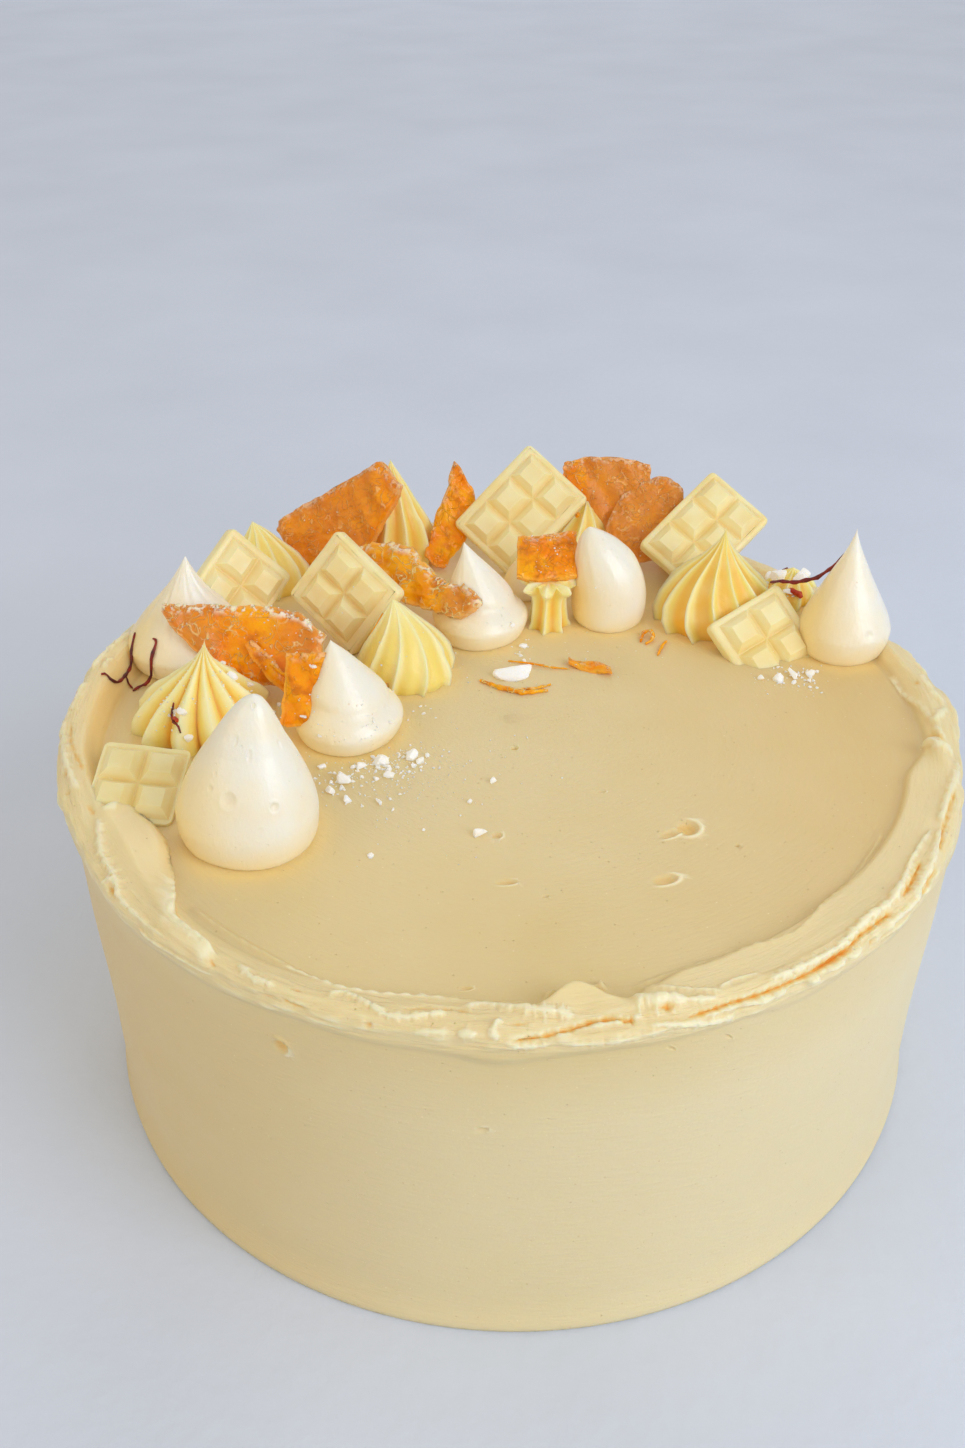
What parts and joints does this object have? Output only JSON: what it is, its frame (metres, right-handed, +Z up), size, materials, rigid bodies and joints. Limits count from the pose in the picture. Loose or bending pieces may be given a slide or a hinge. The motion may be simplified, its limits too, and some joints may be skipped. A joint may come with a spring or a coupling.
{
  "type": "mango cake",
  "caption": "Tall round buttercream cake, uncut, topped on its back and left with meringue kisses, piped swirls, white chocolate blocks and candied mango slices.",
  "frame": {"origin": "middle of the cake's flat underside", "axes": "+Z up, -Y towards the viewer of the picture, +X to the viewer's right"},
  "size_m": [0.2117, 0.2104, 0.1249],
  "materials": {
    "icing": "pale butter yellow buttercream, satin, smoothed with a palette knife, with dragged edges",
    "meringue": "off-white baked meringue, smooth satin skin with small bubble pits",
    "buttercream": "warm yellow piped buttercream, satin, with sharp pale ridges",
    "white_chocolate": "ivory white chocolate with a soft sheen",
    "mango": "translucent orange candied mango with paler fibres and a sugar bloom"
  },
  "bodies": {
    "root": {"block_back": "white_chocolate", "block_back_right": "white_chocolate", "block_front_left": "white_chocolate", "block_left_back": "white_chocolate", "block_middle": "white_chocolate", "block_right": "white_chocolate", "cake": "icing", "kiss_behind_centre": "meringue", "kiss_centre": "meringue", "kiss_centre_right": "meringue", "kiss_front_left": "meringue", "kiss_left_back": "meringue", "kiss_left_middle": "meringue", "kiss_right": "meringue", "mango_back_left": "mango", "mango_back_right": "mango", "mango_fan": "mango", "mango_flake": "mango", "mango_left": "mango", "mango_middle": "mango", "mango_on_kiss": "mango", "mango_on_swirl": "mango", "mango_sliver": "mango", "mango_spike": "mango", "meringue_shard": "meringue", "swirl_back": "buttercream", "swirl_back_centre": "buttercream", "swirl_back_right": "buttercream", "swirl_centre": "buttercream", "swirl_far_right": "buttercream", "swirl_left": "buttercream", "swirl_left_back": "buttercream", "swirl_middle": "buttercream", "swirl_right": "buttercream"}
  },
  "joints": []
}
